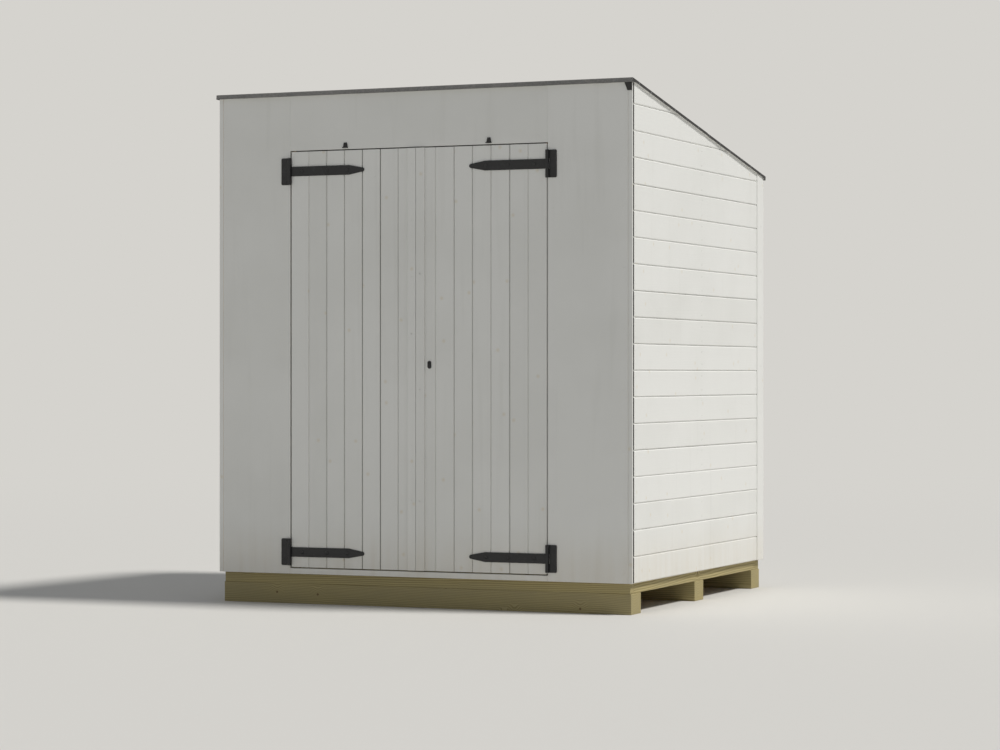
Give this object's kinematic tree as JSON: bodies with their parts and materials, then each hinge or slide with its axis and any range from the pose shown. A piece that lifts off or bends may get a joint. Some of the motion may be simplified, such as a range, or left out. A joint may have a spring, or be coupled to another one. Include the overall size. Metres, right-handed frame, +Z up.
{
  "type": "beach hut",
  "caption": "Small timber beach cabin with boarded walls, a roof that falls to the back, and a pair of boarded doors on long T hinges.",
  "frame": {"origin": "on the ground, at the centre of the hut's plan", "axes": "+Z up, +X to the right of someone who faces the doors, +Y from the doors to the rear wall"},
  "size_m": [2.018, 1.8391, 2.2978],
  "materials": {
    "white_paint": "white exterior paint on softwood, satin",
    "treated_timber": "pressure-treated softwood, yellow-green, sawn",
    "bare_timber": "bare planed softwood",
    "black_iron": "black coated steel, satin",
    "roof_felt": "dark mineral roofing felt"
  },
  "bodies": {
    "hut": {"front_bearer": "treated_timber", "middle_bearer": "treated_timber", "rear_bearer": "treated_timber", "left_joist": "treated_timber", "right_joist": "treated_timber", "centre_joist": "treated_timber", "rim_joists": "treated_timber", "floor_deck": "bare_timber", "front_left_post": "bare_timber", "front_right_post": "bare_timber", "rear_left_post": "bare_timber", "rear_right_post": "bare_timber", "left_door_post": "bare_timber", "right_door_post": "bare_timber", "door_header": "bare_timber", "front_top_plate": "bare_timber", "rear_top_plate": "bare_timber", "left_top_plate": "bare_timber", "right_top_plate": "bare_timber", "wall_studs": "bare_timber", "left_cladding": "white_paint", "right_cladding": "white_paint", "rear_cladding": "white_paint", "left_front_panel": "white_paint", "right_front_panel": "white_paint", "head_panel": "white_paint", "door_sill": "white_paint", "front_trims": "white_paint", "rear_trims": "white_paint", "centre_rafter": "bare_timber", "roof_deck": "bare_timber", "roof_felt": "roof_felt", "left_hinge_plates": "black_iron", "right_hinge_plates": "black_iron", "head_clips": "black_iron"},
    "left_leaf": {"left_leaf_boards": "white_paint", "left_leaf_ledges": "white_paint", "left_leaf_braces": "white_paint", "left_hinge_straps": "black_iron"},
    "right_leaf": {"right_leaf_boards": "white_paint", "right_leaf_ledges": "white_paint", "right_leaf_braces": "white_paint", "right_hinge_straps": "black_iron", "lock_plate": "black_iron", "lock_case": "black_iron"}
  },
  "joints": [
    {"name": "left_door_hinge", "type": "hinge", "parent": "hut", "child": "left_leaf", "pos_m": [-0.64, -0.9085, 1.0865], "axis": [0, 0, -1], "range_deg": [0, 170]},
    {"name": "right_door_hinge", "type": "hinge", "parent": "hut", "child": "right_leaf", "pos_m": [0.61, -0.9085, 1.0865], "axis": [0, 0, 1], "range_deg": [0, 170]}
  ]
}
